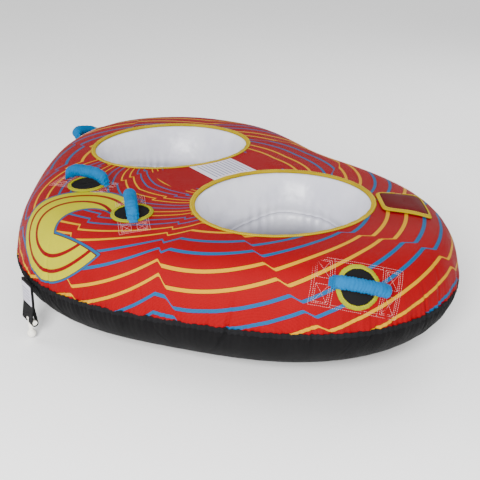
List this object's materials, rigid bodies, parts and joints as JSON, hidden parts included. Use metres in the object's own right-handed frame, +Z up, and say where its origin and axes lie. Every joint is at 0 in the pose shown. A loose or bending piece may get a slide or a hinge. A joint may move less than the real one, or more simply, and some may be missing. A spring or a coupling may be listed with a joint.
{
  "type": "towable tube",
  "caption": "Inflatable towable tube for two riders: bladder with two cockpit wells in a sewn nylon cover, padded grab handles, valve flap, zip and hanging tow point.",
  "frame": {"origin": "middle of the underside, on the ground plane, between the two cockpits", "axes": "+Z up, -Y towards the nose (tow end), +X to the riders' left; the tube is symmetric about X = 0 apart from the valve"},
  "size_m": [1.7818, 1.264, 0.4862],
  "materials": {
    "cover_nylon": "printed red coated nylon, satin",
    "black_nylon": "black coated nylon",
    "flap_nylon": "dark red nylon",
    "binding_tape": "yellow-green ribbed binding tape",
    "grip_wrap": "bright blue nylon wrap over foam",
    "black_webbing": "black polyester webbing",
    "neoprene": "matt black neoprene",
    "bladder_vinyl": "white soft vinyl, low gloss",
    "label_sheet": "plain white printed sheet",
    "white_plastic": "white moulded plastic",
    "zip_coil": "black nylon coil",
    "zip_metal": "brushed"
  },
  "bodies": {
    "tube": {"bladder_upper": "bladder_vinyl", "bladder_lower": "bladder_vinyl", "top_cover": "cover_nylon", "side_band": "black_nylon", "bottom_panel": "black_nylon", "seam_binding": "black_webbing", "cockpit_binding_left": "binding_tape", "cockpit_binding_right": "binding_tape", "centre_label": "label_sheet", "knuckle_guard_outer_left": "neoprene", "knuckle_guard_outer_right": "neoprene", "knuckle_guard_inner_left": "neoprene", "knuckle_guard_inner_right": "neoprene", "guard_binding_outer_left": "binding_tape", "guard_binding_outer_right": "binding_tape", "guard_binding_inner_left": "binding_tape", "guard_binding_inner_right": "binding_tape", "flap_loop_tape": "black_webbing", "valve_base": "white_plastic", "tow_patch": "black_webbing", "zipper_tape": "zip_coil", "zipper_teeth": "zip_coil"},
    "handle_outer_left": {"handle_webbing_outer_left": "grip_wrap", "handle_grip_outer_left": "grip_wrap"},
    "handle_outer_right": {"handle_webbing_outer_right": "grip_wrap", "handle_grip_outer_right": "grip_wrap"},
    "handle_inner_left": {"handle_webbing_inner_left": "grip_wrap", "handle_grip_inner_left": "grip_wrap"},
    "handle_inner_right": {"handle_webbing_inner_right": "grip_wrap", "handle_grip_inner_right": "grip_wrap"},
    "valve_flap": {"valve_flap": "flap_nylon", "flap_binding": "binding_tape", "flap_hook_tape": "black_webbing"},
    "valve_insert": {"valve_insert": "white_plastic", "valve_seal": "neoprene"},
    "valve_cap": {"valve_cap": "white_plastic"},
    "tow_strap": {"tow_strap": "black_webbing", "tow_label": "label_sheet"},
    "tow_hook": {"tow_hook": "white_plastic"},
    "zipper_slider": {"zipper_slider": "zip_metal"},
    "zipper_pull": {"zipper_pull": "zip_metal"}
  },
  "joints": [
    {"name": "handle_outer_left_flop", "type": "hinge", "parent": "tube", "child": "handle_outer_left", "pos_m": [0.81, -0.099, 0.34878], "axis": [0.5223, 0.8268, -0.2087], "range_deg": [-22, 22]},
    {"name": "handle_outer_right_flop", "type": "hinge", "parent": "tube", "child": "handle_outer_right", "pos_m": [-0.81, -0.099, 0.34878], "axis": [-0.5223, 0.8268, -0.2087], "range_deg": [-22, 22]},
    {"name": "handle_inner_left_flop", "type": "hinge", "parent": "tube", "child": "handle_inner_left", "pos_m": [0.153, -0.433, 0.41672], "axis": [0.9067, -0.4202, -0.0368], "range_deg": [-22, 22]},
    {"name": "handle_inner_right_flop", "type": "hinge", "parent": "tube", "child": "handle_inner_right", "pos_m": [-0.153, -0.433, 0.41672], "axis": [-0.9067, -0.4202, -0.0368], "range_deg": [-22, 22]},
    {"name": "valve_flap_hinge", "type": "hinge", "parent": "tube", "child": "valve_flap", "pos_m": [0.4869, 0.3476, 0.42094], "axis": [-0.5332, -0.8385, 0.1124], "range_deg": [0, 120]},
    {"name": "valve_insert_turn", "type": "hinge", "parent": "tube", "child": "valve_insert", "pos_m": [0.5499, 0.30681, 0.41395], "axis": [0.0419, 0.0804, 0.9959], "range_deg": [0, 90]},
    {"name": "valve_cap_turn", "type": "hinge", "parent": "valve_insert", "child": "valve_cap", "pos_m": [0.5499, 0.30681, 0.41395], "axis": [0.0419, 0.0804, 0.9959], "range_deg": [0, 360]},
    {"name": "tow_strap_swing", "type": "hinge", "parent": "tube", "child": "tow_strap", "pos_m": [0, -0.72775, 0.20968], "axis": [-1, 0, 0], "range_deg": [-6, 110]},
    {"name": "tow_hook_swing", "type": "hinge", "parent": "tow_strap", "child": "tow_hook", "pos_m": [0, -0.72775, 0.07368], "axis": [-1, 0, 0], "range_deg": [-60, 60]},
    {"name": "zipper_slide", "type": "hinge", "parent": "tube", "child": "zipper_slider", "pos_m": [0, 1.40692, 0.135], "axis": [0, 0, -1], "range_deg": [0, 15.3]},
    {"name": "zipper_pull_swing", "type": "hinge", "parent": "zipper_slider", "child": "zipper_pull", "pos_m": [0.12427, 0.49178, 0.135], "axis": [0.9911, 0.133, 0], "range_deg": [-10, 160]}
  ]
}
